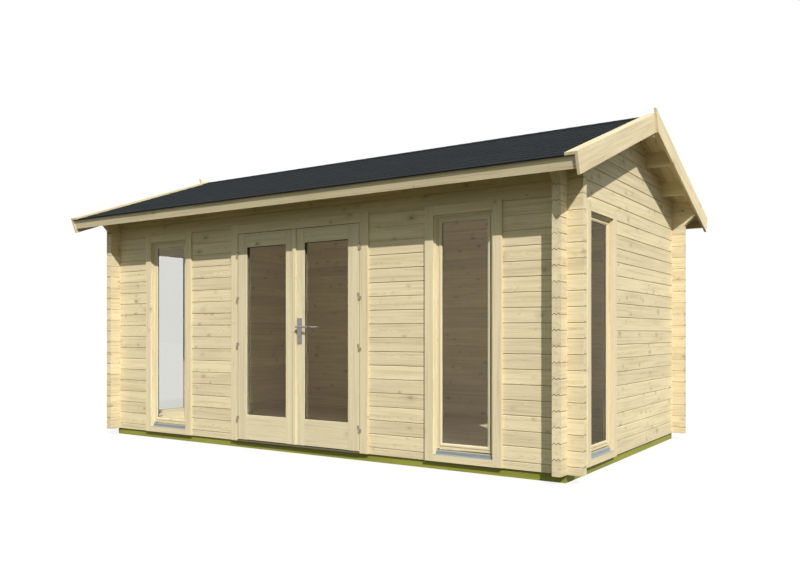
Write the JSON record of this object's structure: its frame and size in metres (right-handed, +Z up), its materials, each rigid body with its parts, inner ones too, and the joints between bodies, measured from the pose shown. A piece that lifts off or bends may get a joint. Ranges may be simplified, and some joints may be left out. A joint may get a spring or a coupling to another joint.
{
  "type": "log cabin",
  "caption": "Hollow garden log cabin with a low gable roof, glazed double doors that open, tall fixed windows, interlocked corners and a boarded floor.",
  "frame": {"origin": "middle of the cabin's bounding box in plan, on the ground under the foundation beams", "axes": "+X along the front to the right seen from outside, +Y from the front (doors) to the back, +Z up"},
  "size_m": [5.556, 3.678, 2.9694],
  "materials": {
    "treated_timber": "sawn and pressure treated, matt",
    "floor": "planed, bare, matt",
    "logs": "planed bare spruce, matt",
    "roof_boards": "planed bare spruce, matt",
    "roofing": "mineral-faced bitumen, matt",
    "trim": "planed bare spruce, matt",
    "joinery": "planed bare spruce, satin",
    "sills": "grey-blue, satin",
    "glazing": "clear double glazing",
    "threshold": "mill finish, worn",
    "furniture_steel": "satin",
    "hinge_steel": "zinc plated"
  },
  "bodies": {
    "cabin": {"foundation_long_beams": "treated_timber", "foundation_end_beams": "treated_timber", "floor_joists": "treated_timber", "floor_boards": "floor", "front_wall_left": "logs", "front_wall_right": "logs", "front_wall_over_door": "logs", "back_wall": "logs", "left_wall": "logs", "right_wall": "logs", "ridge_purlin": "logs", "front_purlins": "logs", "back_purlins": "logs", "front_roof_boards": "roof_boards", "back_roof_boards": "roof_boards", "front_roofing": "roofing", "back_roofing": "roofing", "front_fascia": "trim", "back_fascia": "trim", "front_barge_boards": "trim", "back_barge_boards": "trim", "front_verge_caps": "trim", "back_verge_caps": "trim", "front_window_casings": "trim", "side_window_casings": "trim", "door_casing": "trim", "front_window_frames": "joinery", "side_window_frames": "joinery", "door_frame": "joinery", "front_window_sills": "sills", "side_window_sills": "sills", "front_window_glass": "glazing", "side_window_glass": "glazing", "door_threshold": "threshold", "frame_hinges": "hinge_steel"},
    "left_door": {"left_door_leaf": "joinery", "left_door_glass": "glazing", "left_leaf_hinges": "hinge_steel"},
    "right_door": {"right_door_leaf": "joinery", "right_door_glass": "glazing", "meeting_strip": "joinery", "lock_plates": "furniture_steel", "right_leaf_hinges": "hinge_steel"},
    "lever": {"door_lever": "furniture_steel"}
  },
  "joints": [
    {"name": "left_door_hinge", "type": "hinge", "parent": "cabin", "child": "left_door", "pos_m": [-0.71, -1.472, 1], "axis": [0, 0, -1], "range_deg": [0, 115]},
    {"name": "right_door_hinge", "type": "hinge", "parent": "cabin", "child": "right_door", "pos_m": [0.71, -1.472, 1], "axis": [0, 0, 1], "range_deg": [0, 115]},
    {"name": "lever_pivot", "type": "hinge", "parent": "right_door", "child": "lever", "pos_m": [0.056, -1.443, 1.128], "axis": [0, 1, 0], "range_deg": [0, 40], "stiffness_Nm_per_rad": 1.2, "springref_deg": -20.05}
  ]
}
